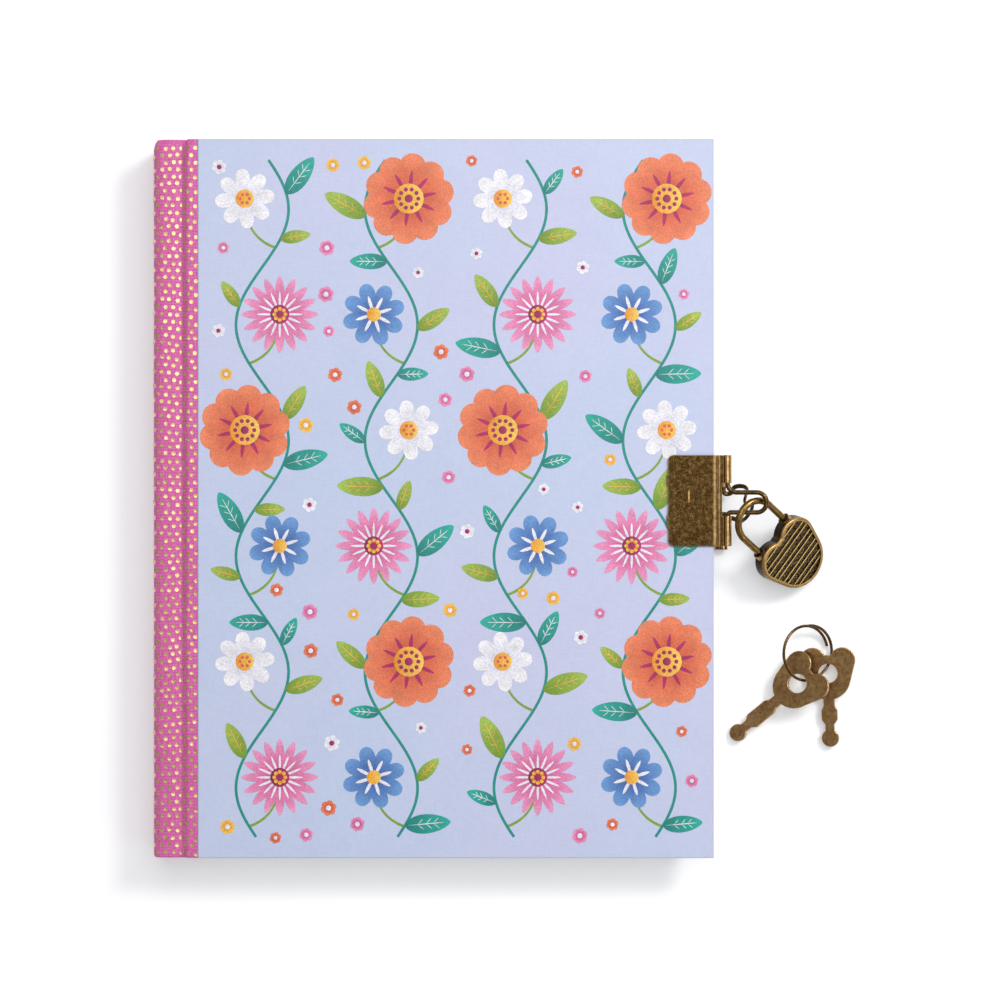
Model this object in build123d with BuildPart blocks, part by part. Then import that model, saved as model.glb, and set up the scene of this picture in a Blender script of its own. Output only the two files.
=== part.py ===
import math
import os

from build123d import *

os.makedirs("parts", exist_ok=True)

# Closed diary: overall size, in mm. The back cover lies on Z = 0 and the fore-edge is towards +X.
cover_height = 205.0
cover_width = 159.4
thickness = 17.0
spine_face = -cover_width / 2
fore_edge = cover_width / 2

# Cover build-up
board_thk = 2.1
paper_thk = 0.2
cloth_thk = 0.35
turn_in = 4.0
board_set_back = 9.3
cloth_overlap = 3.0
board_spine_edge = spine_face + board_set_back
cloth_on_board = board_spine_edge + cloth_overlap
glue_gap = 0.02
cover_thk = paper_thk + board_thk + paper_thk

# Text block
page_margin = 3.0
page_square = 4.0
page_set_back = 2.8
page_fore_edge = fore_edge - page_square
page_back = spine_face + page_set_back
leaf_thk = 0.15
leaf_gap = 0.04
section_count = 6
section_gap = 0.02
fold_radius = 0.8

# Spine and hinges
spine_board_thk = 1.8
crease_in = 8.0
crease_x = spine_face + crease_in
crease_drop = 1.3
hump_drop = 0.75
spine_round = 1.7

# Clasp plates
plate_thk = 0.6
plate_reach = 13.0
plate_inner_edge = fore_edge - plate_reach
plate_length = 26.0
plate_y = -0.6
back_plate_y = -1.9
plate_corner = 1.5
flange_out = 0.85
barrel_out = 4.1
flange_x = fore_edge + flange_out
barrel_x = fore_edge + barrel_out
barrel_drop = 1.6
barrel_radius = 1.15
barrel_gap = 9.4
prong_width = 4.2
prong_offset = 5.75
prong_thk = 0.6
prong_bend = 0.45
prong_bend_round = 0.4
clinch_thk = 0.45
clinch_reach = 3.4
clasp_clearance = 0.1

# Wire loops
loop_wire = 0.68
pin_clearance = 0.06
front_loop_y = -1.12
front_loop_half = 2.86
front_loop_reach = 11.82
front_loop_rise = 10.8
back_loop_reach = 12.0
back_loop_half = 5.1
back_loop_rise = 54.0
loop_bend = 2.6

# Padlock
lock_heading = 138.8
lock_pitch = 28.8
lock_roll = 9.6
lock_thk = 4.6
lobe_radius = 5.8
lobe_x = 4.55
lobe_y = 4.04
tip_radius = 8.9
tip_y = -0.4
shackle_wire = 1.0
shackle_half = 6.15
shackle_arc_y = 17.3
shackle_clearance = 0.06
long_leg_end = -3.0
short_leg_end = 6.1
lock_out = 19.7
lock_origin = (barrel_x + lock_out, -16.63, 6.68)

# Keys and ring
key_thk = 1.0
key_hole = 2.8
bow_lobe = 3.7
bow_lobe_x = 4.3
bow_lobe_y = 3.8
bow_round = 6.5
bow_round_y = -1.2
blade_neck = 1.6
blade_body = 2.3
blade_waist = 1.3
blade_end = 2.5
blade_top = -7.0
left_blade_length = 25.2
right_blade_length = 21.4
ring_radius = 7.9
ring_wire = 0.42
ring_tilt = 29.0
ring_pitch = 1.1
ring_spread = 0.9
ring_out = 27.8
ring_y_place = -44.82
ring_height = 5.24
ring_centre = (fore_edge + ring_out, ring_y_place, ring_height)
left_key_hole = (ring_centre[0] - 2.6, ring_centre[1] - 8.7, ring_height + 0.77)
left_key_heading = 40.9
left_key_rise = 10.8
left_key_roll = -23.4
right_key_hole = (ring_centre[0] + 6.59, ring_centre[1] - 5.96, ring_height - 2.61)
right_key_heading = 92.4
right_key_rise = 2.2
right_key_roll = -14.1

half_height = cover_height / 2
inner_back = cover_thk
inner_front = thickness - cover_thk


def slab(x0, x1, y0, y1, z0, z1, operation=Mode.ADD):
    """A box between two corners."""
    with Locations(((x0 + x1) / 2, (y0 + y1) / 2, (z0 + z1) / 2)):
        Box(x1 - x0, y1 - y0, z1 - z0, mode=operation)


# Back cover: board with prong slots, clinch pockets and a recess that takes the flush clasp plate.
back_prongs = [back_plate_y + prong_offset, back_plate_y - prong_offset]
front_prongs = [plate_y + prong_offset, plate_y - prong_offset]
slot_half = prong_width / 2 + clasp_clearance
slot_x0 = plate_inner_edge - clasp_clearance
slot_x1 = plate_inner_edge + prong_thk + clasp_clearance
pocket_x1 = plate_inner_edge + clinch_reach + clasp_clearance
pocket_depth = clinch_thk + 0.05
board_fore = fore_edge - paper_thk
board_half = half_height - paper_thk
recess_half = plate_length / 2 + clasp_clearance

with BuildPart() as back_board:
    slab(board_spine_edge, board_fore - glue_gap, -board_half + glue_gap, board_half - glue_gap,
         paper_thk, paper_thk + board_thk)
    slab(slot_x0, fore_edge, back_plate_y - recess_half, back_plate_y + recess_half,
         0, plate_thk + 0.04, Mode.SUBTRACT)
    for y in back_prongs:
        slab(slot_x0, slot_x1, y - slot_half, y + slot_half, 0, cover_thk, Mode.SUBTRACT)
        slab(slot_x0, pocket_x1, y - slot_half, y + slot_half,
             paper_thk + board_thk - pocket_depth, cover_thk, Mode.SUBTRACT)
back_board.part.label = "back_board"
export_step(back_board.part, "parts/back_board.step")

with BuildPart() as back_cover_paper:
    slab(cloth_on_board, fore_edge, -half_height, half_height, 0, cover_thk)
    slab(cloth_on_board, board_fore, -board_half, board_half,
         paper_thk, paper_thk + board_thk, Mode.SUBTRACT)
    slab(cloth_on_board, board_fore - turn_in, -board_half + turn_in, board_half - turn_in,
         cover_thk - 2 * paper_thk, cover_thk, Mode.SUBTRACT)
    slab(slot_x0, fore_edge + 1, back_plate_y - recess_half, back_plate_y + recess_half,
         -1, plate_thk + 0.04, Mode.SUBTRACT)
back_cover_paper.part.label = "back_cover_paper"
export_step(back_cover_paper.part, "parts/back_cover_paper.step")

cloth_side = board_spine_edge - cloth_thk

with BuildPart() as back_joint_cloth:
    slab(cloth_side, cloth_on_board - glue_gap, -half_height, half_height, 0, cover_thk)
    slab(board_spine_edge - glue_gap, cloth_on_board, -board_half, board_half,
         paper_thk, paper_thk + board_thk, Mode.SUBTRACT)
    slab(cloth_side - 1, cloth_on_board, -board_half + turn_in, board_half - turn_in,
         paper_thk + board_thk, cover_thk + 1, Mode.SUBTRACT)
    with BuildSketch(Plane.XZ.offset(-half_height)):
        with BuildLine():
            Polyline((cloth_side - 1, -1), (cloth_side + 0.5, -1), (cloth_side - 1, 0.5), close=True)
        make_face()
    extrude(amount=cover_height, mode=Mode.SUBTRACT)
back_joint_cloth.part.label = "back_joint_cloth"
export_step(back_joint_cloth.part, "parts/back_joint_cloth.step")

with BuildPart() as back_pastedown:
    slab(board_spine_edge + 0.3, board_fore - turn_in - 0.05,
         -board_half + turn_in + 0.05, board_half - turn_in - 0.05,
         paper_thk + board_thk + glue_gap, cover_thk)
back_pastedown.part.label = "back_pastedown"
export_step(back_pastedown.part, "parts/back_pastedown.step")

# Front cover: the same build-up, with the clasp plate proud of the printed face.
board_top = thickness - paper_thk
board_under = board_top - board_thk

with BuildPart() as front_board:
    slab(board_spine_edge, board_fore - glue_gap, -board_half + glue_gap, board_half - glue_gap,
         board_under, board_top)
    for y in front_prongs:
        slab(slot_x0, slot_x1, y - slot_half, y + slot_half, inner_front, thickness, Mode.SUBTRACT)
        slab(slot_x0, pocket_x1, y - slot_half, y + slot_half,
             inner_front, board_under + pocket_depth, Mode.SUBTRACT)
front_board.part.label = "front_board"
export_step(front_board.part, "parts/front_board.step")

with BuildPart() as front_cover_paper:
    slab(cloth_on_board, fore_edge, -half_height, half_height, inner_front, thickness)
    slab(cloth_on_board, board_fore, -board_half, board_half, board_under, board_top, Mode.SUBTRACT)
    slab(cloth_on_board, board_fore - turn_in, -board_half + turn_in, board_half - turn_in,
         inner_front, board_under + paper_thk, Mode.SUBTRACT)
    for y in front_prongs:
        slab(slot_x0, slot_x1, y - slot_half, y + slot_half, board_under, thickness, Mode.SUBTRACT)
front_cover_paper.part.label = "front_cover_paper"
export_step(front_cover_paper.part, "parts/front_cover_paper.step")

with BuildPart() as front_joint_cloth:
    slab(cloth_side, cloth_on_board - glue_gap, -half_height, half_height, inner_front, thickness)
    slab(board_spine_edge - glue_gap, cloth_on_board, -board_half, board_half,
         board_under, board_top, Mode.SUBTRACT)
    slab(cloth_side - 1, cloth_on_board, -board_half + turn_in, board_half - turn_in,
         inner_front - 1, board_under, Mode.SUBTRACT)
    with BuildSketch(Plane.XZ.offset(-half_height)):
        with BuildLine():
            Polyline((cloth_side - 1, thickness + 1), (cloth_side + 0.5, thickness + 1),
                     (cloth_side - 1, thickness - 0.5), close=True)
        make_face()
    extrude(amount=cover_height, mode=Mode.SUBTRACT)
front_joint_cloth.part.label = "front_joint_cloth"
export_step(front_joint_cloth.part, "parts/front_joint_cloth.step")

with BuildPart() as front_pastedown:
    slab(board_spine_edge + 0.3, board_fore - turn_in - 0.05,
         -board_half + turn_in + 0.05, board_half - turn_in - 0.05,
         inner_front, board_under - glue_gap)
front_pastedown.part.label = "front_pastedown"
export_step(front_pastedown.part, "parts/front_pastedown.step")

# Spine: cloth round a stiff strip, with a soft hump over each joint and a crease beside each board.
def spine_profile(inset, reach):
    """Points down the spine's section, inset from the cloth's outer face: hump, round, flat, round, hump."""
    hump_end = thickness - hump_drop - 0.1 - inset
    bend = spine_round - inset
    side = spine_face + inset
    slant = bend * (1 - math.sqrt(0.5))
    hump = [
        (crease_x + reach, thickness - crease_drop - inset - 0.6 * reach),
        (crease_x - 1.6, thickness - hump_drop - 0.12 - inset),
        (crease_x - 3.8, thickness - hump_drop - inset),
        (side + bend, hump_end),
    ]
    turn = [hump[-1], (side + slant, hump_end - slant), (side, hump_end - bend)]
    back_turn = [(x, thickness - z) for x, z in reversed(turn)]
    back_hump = [(x, thickness - z) for x, z in reversed(hump)]
    return hump, turn, back_turn, back_hump


with BuildPart() as spine_cloth:
    with BuildSketch(Plane.XZ.offset(-half_height)):
        hump, turn, back_turn, back_hump = spine_profile(0, 0)
        with BuildLine():
            Spline(*hump)
            ThreePointArc(*turn)
            Line(turn[-1], back_turn[0])
            ThreePointArc(*back_turn)
            Spline(*back_hump)
            Line(back_hump[-1], hump[0])
        make_face()
        hump, turn, back_turn, back_hump = spine_profile(cloth_thk, 0.5)
        with BuildLine():
            Spline(*hump)
            ThreePointArc(*turn)
            Line(turn[-1], back_turn[0])
            ThreePointArc(*back_turn)
            Spline(*back_hump)
            Line(back_hump[-1], hump[0])
        make_face(mode=Mode.SUBTRACT)
    extrude(amount=cover_height)
spine_cloth.part.label = "spine_cloth"
export_step(spine_cloth.part, "parts/spine_cloth.step")

spine_board_x0 = spine_face + cloth_thk + glue_gap
spine_board_x1 = spine_board_x0 + spine_board_thk
spine_board_low = hump_drop + spine_round + 0.3

with BuildPart() as spine_board:
    slab(spine_board_x0, spine_board_x1, -board_half, board_half,
         spine_board_low, thickness - spine_board_low)
spine_board.part.label = "spine_board"
export_step(spine_board.part, "parts/spine_board.step")

# Text block: folded sections, free endpaper leaves, gauze lining and the bands at its ends.
page_half = half_height - page_margin
leaf_low = inner_back + leaf_gap
leaf_high = inner_front - leaf_gap
block_low = leaf_low + leaf_thk + leaf_gap
block_high = leaf_high - leaf_thk - leaf_gap
section_step = (block_high - block_low) / section_count


def section(number):
    """One folded section: flat leaves with a rounded fold at the spine."""
    z0 = block_low + (number - 1) * section_step
    slab(page_back, page_fore_edge, -page_half, page_half, z0, z0 + section_step - section_gap)
    fold = edges().filter_by(Axis.Y).group_by(Axis.X)[0]
    fillet(fold, radius=fold_radius)


with BuildPart() as section_1:
    section(1)
section_1.part.label = "section_1"
export_step(section_1.part, "parts/section_1.step")

with BuildPart() as section_2:
    section(2)
section_2.part.label = "section_2"
export_step(section_2.part, "parts/section_2.step")

with BuildPart() as section_3:
    section(3)
section_3.part.label = "section_3"
export_step(section_3.part, "parts/section_3.step")

with BuildPart() as section_4:
    section(4)
section_4.part.label = "section_4"
export_step(section_4.part, "parts/section_4.step")

with BuildPart() as section_5:
    section(5)
section_5.part.label = "section_5"
export_step(section_5.part, "parts/section_5.step")

with BuildPart() as section_6:
    section(6)
section_6.part.label = "section_6"
export_step(section_6.part, "parts/section_6.step")

with BuildPart() as back_flyleaf:
    slab(page_back + 1, page_fore_edge, -page_half, page_half, leaf_low, leaf_low + leaf_thk)
back_flyleaf.part.label = "back_flyleaf"
export_step(back_flyleaf.part, "parts/back_flyleaf.step")

with BuildPart() as front_flyleaf:
    slab(page_back + 1, page_fore_edge, -page_half, page_half, leaf_high - leaf_thk, leaf_high)
front_flyleaf.part.label = "front_flyleaf"
export_step(front_flyleaf.part, "parts/front_flyleaf.step")

lining_thk = 0.3
lining_short = 11.5
lining_half = page_half - lining_short
band_radius = 0.9
band_x = page_back + 0.6
band_low = block_low + 0.5
band_high = block_high - 0.5

with BuildPart() as spine_lining:
    slab(page_back - lining_thk, page_back - glue_gap, -lining_half, lining_half,
         block_low + 0.4, block_high - 0.4)
spine_lining.part.label = "spine_lining"
export_step(spine_lining.part, "parts/spine_lining.step")


def end_band(side):
    """A woven bead over the end of the sections' backs, on a tape glued to the backs."""
    bead_y = side * (page_half + band_radius + glue_gap)
    tape = sorted([side * (lining_half + 0.5), bead_y])
    slab(page_back - lining_thk, page_back - glue_gap, tape[0], tape[1], band_low, band_high)
    bead_end = sorted([side * (page_half + glue_gap), bead_y])
    slab(page_back - lining_thk, band_x, bead_end[0], bead_end[1], band_low, band_high)
    with Locations((band_x, bead_y, (band_low + band_high) / 2)):
        Cylinder(band_radius, band_high - band_low)


with BuildPart() as head_band:
    end_band(1)
head_band.part.label = "head_band"
export_step(head_band.part, "parts/head_band.step")

with BuildPart() as tail_band:
    end_band(-1)
tail_band.part.label = "tail_band"
export_step(tail_band.part, "parts/tail_band.step")

# Clasp plates: a stamped leaf with clinched prongs, bent over the fore-edge and rolled into two barrels.
barrel_z = thickness - barrel_drop
back_barrel_z = barrel_drop
barrel_bore = loop_wire + pin_clearance
neck_half = 0.3
gap_edge = barrel_x - 1.6


def plate_solid(centre_y, gap_y, leaf_low, flange_ends, barrel_height):
    """Leaf, flange, neck and barrels before the holes are cut."""
    y0 = centre_y - plate_length / 2
    y1 = centre_y + plate_length / 2
    slab(plate_inner_edge, flange_x + plate_thk, y0, y1, leaf_low, leaf_low + plate_thk)
    corners = edges().filter_by(Axis.Z).group_by(Axis.X)[0]
    fillet(corners, radius=plate_corner)
    slab(flange_x, flange_x + plate_thk, y0, y1, flange_ends[0], flange_ends[1])
    bends = edges().filter_by(Axis.Y).filter_by(lambda e: e.length > plate_length - 0.1)
    outer_z = leaf_low + plate_thk if barrel_height < leaf_low else leaf_low
    outer = bends.sort_by_distance((flange_x + plate_thk, centre_y, outer_z))[0]
    fillet(outer, radius=1.1)
    slab(flange_x + plate_thk - 0.3, barrel_x, y0, y1, barrel_height - neck_half, barrel_height + neck_half)
    with Locations(Location((barrel_x, centre_y, barrel_height), (90, 0, 0))):
        Cylinder(barrel_radius, plate_length)
        Cylinder(barrel_bore, plate_length + 1, mode=Mode.SUBTRACT)
    slab(gap_edge, barrel_x + 2, gap_y - barrel_gap / 2, gap_y + barrel_gap / 2,
         barrel_height - 2, barrel_height + 2, Mode.SUBTRACT)


front_gap_y = -0.3
back_gap_y = back_plate_y + 0.4

with BuildPart() as front_clasp_plate:
    plate_solid(plate_y, front_gap_y, thickness + glue_gap,
                (barrel_z - neck_half, thickness + glue_gap + plate_thk), barrel_z)
    for y in front_prongs:
        slab(plate_inner_edge, plate_inner_edge + prong_thk, y - prong_width / 2, y + prong_width / 2,
             board_under + glue_gap, thickness + 0.3)
        slab(plate_inner_edge, plate_inner_edge + clinch_reach, y - prong_width / 2, y + prong_width / 2,
             board_under + glue_gap, board_under + glue_gap + clinch_thk)
        slab(plate_inner_edge - prong_bend, plate_inner_edge + prong_thk, y - prong_width / 2 + 0.4,
             y + prong_width / 2 - 0.4, thickness + glue_gap, thickness + glue_gap + plate_thk - 0.1)
    fillet(edges().filter_by(Axis.Z).group_by(Axis.X)[0], radius=prong_bend_round)
front_clasp_plate.part.label = "front_clasp_plate"
export_step(front_clasp_plate.part, "parts/front_clasp_plate.step")

back_pocket_top = paper_thk + board_thk - glue_gap

with BuildPart() as back_clasp_plate:
    plate_solid(back_plate_y, back_gap_y, glue_gap,
                (glue_gap, back_barrel_z + neck_half), back_barrel_z)
    for y in back_prongs:
        slab(plate_inner_edge, plate_inner_edge + prong_thk, y - prong_width / 2, y + prong_width / 2,
             0.3, back_pocket_top)
        slab(plate_inner_edge, plate_inner_edge + clinch_reach, y - prong_width / 2, y + prong_width / 2,
             back_pocket_top - clinch_thk, back_pocket_top)
back_clasp_plate.part.label = "back_clasp_plate"
export_step(back_clasp_plate.part, "parts/back_clasp_plate.step")


# Wire loops: bails whose turned ends run in the barrels.
def tilted(origin, rise):
    """A plane through a barrel's axis, with its X axis leaving the barrel at an angle to the level."""
    a = math.radians(rise)
    return Plane(origin=origin, x_dir=(math.cos(a), 0, math.sin(a)), z_dir=(-math.sin(a), 0, math.cos(a)))


front_loop_plane = tilted((barrel_x, 0, barrel_z), front_loop_rise)
leg_top = front_loop_y + front_loop_half
leg_low = front_loop_y - front_loop_half
low_bend = 1.05
loop_turn = front_loop_reach - loop_wire - front_loop_half
bend_mid = 1 - math.sqrt(0.5)

with BuildPart() as front_loop:
    with BuildLine(front_loop_plane) as front_loop_line:
        Line((0, 8.6), (0, leg_top + loop_bend))
        ThreePointArc((0, leg_top + loop_bend),
                      (loop_bend * bend_mid, leg_top + loop_bend * bend_mid), (loop_bend, leg_top))
        Line((loop_bend, leg_top), (loop_turn, leg_top))
        ThreePointArc((loop_turn, leg_top), (loop_turn + front_loop_half, front_loop_y), (loop_turn, leg_low))
        Line((loop_turn, leg_low), (low_bend, leg_low))
        ThreePointArc((low_bend, leg_low), (low_bend * bend_mid, leg_low - low_bend * bend_mid),
                      (0, leg_low - low_bend))
        Line((0, leg_low - low_bend), (0, -9.4))
    with BuildSketch(Plane(origin=front_loop_line.line @ 0, z_dir=front_loop_line.line % 0)):
        Circle(loop_wire)
    sweep()
front_loop.part.label = "front_loop"
export_step(front_loop.part, "parts/front_loop.step")

back_loop_plane = tilted((barrel_x, 0, back_barrel_z), back_loop_rise)
base_half = 2.8
base_bend = 1.2
yb = back_gap_y
tip_reach = back_loop_reach - loop_wire
upper_side = [(base_bend, yb + base_half), (4.2, yb + 4.3), (7.4, yb + back_loop_half),
              (10.3, yb + 3.7), (tip_reach, yb)]
lower_side = [(x, 2 * yb - y) for x, y in reversed(upper_side)]

with BuildPart() as back_loop:
    with BuildLine(back_loop_plane) as back_loop_line:
        Line((0, yb + 8.6), (0, yb + base_half + base_bend))
        ThreePointArc((0, yb + base_half + base_bend),
                      (base_bend * bend_mid, yb + base_half + base_bend * bend_mid),
                      (base_bend, yb + base_half))
        Spline(*upper_side, tangents=((1, 0), (0, -1)))
        Spline(*lower_side, tangents=((0, -1), (-1, 0)))
        ThreePointArc((base_bend, yb - base_half),
                      (base_bend * bend_mid, yb - base_half - base_bend * bend_mid),
                      (0, yb - base_half - base_bend))
        Line((0, yb - base_half - base_bend), (0, yb - 8.6))
    with BuildSketch(Plane(origin=back_loop_line.line @ 0, z_dir=back_loop_line.line % 0)):
        Circle(loop_wire)
    sweep()
back_loop.part.label = "back_loop"
export_step(back_loop.part, "parts/back_loop.step")

# Padlock frame: V runs from the heart's tip to the shackle's bow, U across the body, N out of its face.
heading = math.radians(lock_heading)
pitch = math.radians(lock_pitch)
roll = math.radians(lock_roll)
lock_v = Vector(math.cos(heading) * math.cos(pitch), math.sin(heading) * math.cos(pitch), math.sin(pitch))
level_u = Vector(math.sin(heading), -math.cos(heading), 0)
level_n = level_u.cross(lock_v)
lock_u = level_u * math.cos(roll) - level_n * math.sin(roll)
lock_n = lock_u.cross(lock_v)
lock_plane = Plane(origin=lock_origin, x_dir=lock_u, z_dir=lock_n)


def across(u, v):
    """A plane square to the shackle's legs, at a place on the padlock's middle plane."""
    return Plane(origin=lock_plane.from_local_coords((u, v, 0)), x_dir=lock_u, z_dir=lock_v)


shackle_line_top = shackle_arc_y + shackle_half

with BuildPart() as shackle:
    with BuildLine(lock_plane):
        Line((-shackle_half, long_leg_end), (-shackle_half, shackle_arc_y))
        ThreePointArc((-shackle_half, shackle_arc_y), (0, shackle_line_top), (shackle_half, shackle_arc_y))
        Line((shackle_half, shackle_arc_y), (shackle_half, short_leg_end))
    with BuildSketch(across(-shackle_half, long_leg_end)):
        Circle(shackle_wire)
    sweep()
    with BuildSketch(lock_plane.offset(-1)):
        with Locations((shackle_half - shackle_wire, 7.4)):
            Rectangle(0.8, 0.9)
    extrude(amount=2, mode=Mode.SUBTRACT)
shackle.part.label = "shackle"
export_step(shackle.part, "parts/shackle.step")


def heart_sides(radius, offset_x, offset_y, small, small_y, inset):
    """The four tangent points of a heart's straight sides, inset from its outline."""
    big = radius - inset
    small = small - inset
    dx = offset_x
    dy = offset_y - small_y
    reach = math.hypot(dx, dy)
    k = (small - big) / reach
    m = math.sqrt(1 - k * k)
    nx = dx / reach * k + dy / reach * m
    ny = dy / reach * k - dx / reach * m
    right_top = (offset_x + big * nx, offset_y + big * ny)
    right_low = (small * nx, small_y + small * ny)
    return right_top, right_low, (-right_low[0], right_low[1]), (-right_top[0], right_top[1])


def heart(inset):
    """The padlock's heart outline, inset from its edge."""
    a, b, c, d = heart_sides(lobe_radius, lobe_x, lobe_y, tip_radius, tip_y, inset)
    Polygon(a, b, c, d, (-lobe_x, lobe_y), (0, lobe_y + 1.2 - inset), (lobe_x, lobe_y), align=None)
    with Locations((lobe_x, lobe_y), (-lobe_x, lobe_y)):
        Circle(lobe_radius - inset)
    with Locations((0, tip_y)):
        Circle(tip_radius - inset)


# Padlock body: two shells that meet on the middle plane, with leg bores, latch room and keyhole.
half_thk = lock_thk / 2
leg_bore = shackle_wire + shackle_clearance
collar_radius = 1.75
collar_top = 10.5
rim_width = 1.1
face_depth = 0.7
rib_width = 0.42
rib_length = 22.0
rib_height = 0.4
rib_rows = [7.75, 5.7, 4.25, 2.15, 0.7, -1.4, -2.85, -4.8, -6.25]
rim_round = 0.7
shell_gap = 0.01


def lock_box(u0, u1, v0, v1, n0, n1, operation=Mode.SUBTRACT):
    """A box in the padlock's own axes."""
    place = Location(((u0 + u1) / 2, (v0 + v1) / 2, (n0 + n1) / 2))
    with Locations(lock_plane.location * place):
        Box(u1 - u0, v1 - v0, n1 - n0, mode=operation)


def leg_rod(u, v0, v1, radius, operation):
    """A rod along one of the shackle's legs."""
    with Locations(lock_plane.location * Location((u, (v0 + v1) / 2, 0), (-90, 0, 0))):
        Cylinder(radius, v1 - v0, mode=operation)


def lock_hollows():
    """Collars and everything that is hollow inside the body."""
    leg_rod(-shackle_half, collar_root, collar_top, collar_radius, Mode.ADD)
    leg_rod(shackle_half, collar_root, collar_top, collar_radius, Mode.ADD)
    leg_rod(-shackle_half, long_leg_end - leg_spare, collar_top + 1, leg_bore, Mode.SUBTRACT)
    leg_rod(shackle_half, short_leg_end - leg_spare, collar_top + 1, leg_bore, Mode.SUBTRACT)
    lock_box(strip_left - 0.6, arm_left + 1.45, strip_low - 0.2, strip_top + 0.35, -latch_room, latch_room)
    lock_box(arm_left - 0.55, catch_end + 0.5, strip_top - 0.25, catch_top + 0.5, -latch_room, latch_room)
    lock_box(-keyhole_half, keyhole_half, -10.0, -3.5, -0.65, 0.65)


latch_room = 1.1
collar_root = 7.6
leg_spare = 0.5
strip_thk = 0.35
strip_left = -3.6
strip_low = -3.6
strip_top = 4.25
arm_left = 2.95
catch_heel = 6.9
catch_low = 7.1
catch_top = 7.7
catch_end = shackle_half - shackle_wire - 0.3
keyhole_half = 2.75
parting_reach = 12.0
parting_low = 6.0
parting_depth = 4.0

with BuildPart() as lock_front_shell:
    with BuildSketch(lock_plane.offset(shell_gap)):
        heart(0)
    extrude(amount=half_thk - shell_gap)
    rim = faces().sort_by(Axis(lock_origin, lock_n))[-1]
    fillet(rim.edges(), radius=rim_round)
    with BuildSketch(lock_plane.offset(half_thk - face_depth + rib_height)):
        heart(rim_width)
    extrude(amount=face_depth + 1, mode=Mode.SUBTRACT)
    with BuildSketch(lock_plane.offset(half_thk - face_depth)):
        heart(rim_width)
        with Locations(*[(0, v) for v in rib_rows]):
            Rectangle(rib_length, rib_width, mode=Mode.SUBTRACT)
    extrude(amount=rib_height + 0.1, mode=Mode.SUBTRACT)
    lock_hollows()
    lock_box(-parting_reach, parting_reach, parting_low, parting_reach, shell_gap - parting_depth, shell_gap)
lock_front_shell.part.label = "lock_front_shell"
export_step(lock_front_shell.part, "parts/lock_front_shell.step")

with BuildPart() as lock_back_shell:
    with BuildSketch(lock_plane.offset(-half_thk)):
        heart(0)
    extrude(amount=half_thk - shell_gap)
    rim = faces().sort_by(Axis(lock_origin, lock_n))[0]
    fillet(rim.edges(), radius=rim_round)
    lock_hollows()
    lock_box(-parting_reach, parting_reach, parting_low, parting_reach, -shell_gap, parting_depth - shell_gap)
lock_back_shell.part.label = "lock_back_shell"
export_step(lock_back_shell.part, "parts/lock_back_shell.step")

# Latch: a bent spring strip with a catch beside the short leg's notch, drawn in its released place.
with BuildPart() as latch_spring:
    with BuildSketch(lock_plane.offset(-latch_room + 0.2)):
        with BuildLine():
            Polyline((strip_left, strip_low), (strip_left + strip_thk, strip_low),
                     (strip_left + strip_thk, strip_top - strip_thk),
                     (arm_left + strip_thk, strip_top - strip_thk),
                     (arm_left + strip_thk, catch_heel), (catch_end, catch_low), (catch_end, catch_top),
                     (arm_left, catch_top), (arm_left, strip_top), (strip_left, strip_top), close=True)
        make_face()
    extrude(amount=2 * latch_room - 0.4)
latch_spring.part.label = "latch_spring"
export_step(latch_spring.part, "parts/latch_spring.step")

# Key ring: a sprung wire of more than one turn, leaning with its left side up.
tilt = math.radians(ring_tilt)
ring_x = Vector(math.cos(tilt), 0, -math.sin(tilt))
ring_y = Vector(0, 1, 0)
ring_n = ring_x.cross(ring_y)
ring_start = 92.0
ring_end = -346.0
ring_steps = 30
ring_points = []
for step in range(ring_steps + 1):
    turn_deg = ring_start + (ring_end - ring_start) * step / ring_steps
    share = (ring_start - turn_deg) / (ring_start + 50)
    spread = ring_spread * math.sin(math.pi * share) if share < 1 else 0
    lift = ring_pitch * (0.5 - step / ring_steps)
    angle = math.radians(turn_deg)
    radius = ring_radius + spread
    ring_points.append(Vector(ring_centre) + ring_x * (radius * math.cos(angle))
                       + ring_y * (radius * math.sin(angle)) + ring_n * lift)

with BuildPart() as key_ring:
    with BuildLine() as ring_line:
        Spline(*ring_points)
    with BuildSketch(Plane(origin=ring_line.line @ 0, z_dir=ring_line.line % 0)):
        Circle(ring_wire)
    sweep()
key_ring.part.label = "key_ring"
export_step(key_ring.part, "parts/key_ring.step")


# Keys: flat stampings with a heart bow; the ring runs through the bow's hole.
def key_plane(hole, heading_deg, rise_deg, roll_deg):
    """A key's middle plane at its hole, with Y running from the tip to the bow."""
    h = math.radians(heading_deg)
    e = math.radians(rise_deg)
    r = math.radians(roll_deg)
    along = Vector(math.cos(h) * math.cos(e), math.sin(h) * math.cos(e), math.sin(e))
    side = Vector(math.sin(h), -math.cos(h), 0)
    up = side.cross(along)
    side = side * math.cos(r) - up * math.sin(r)
    return Plane(origin=hole, x_dir=side, z_dir=side.cross(along))


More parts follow.
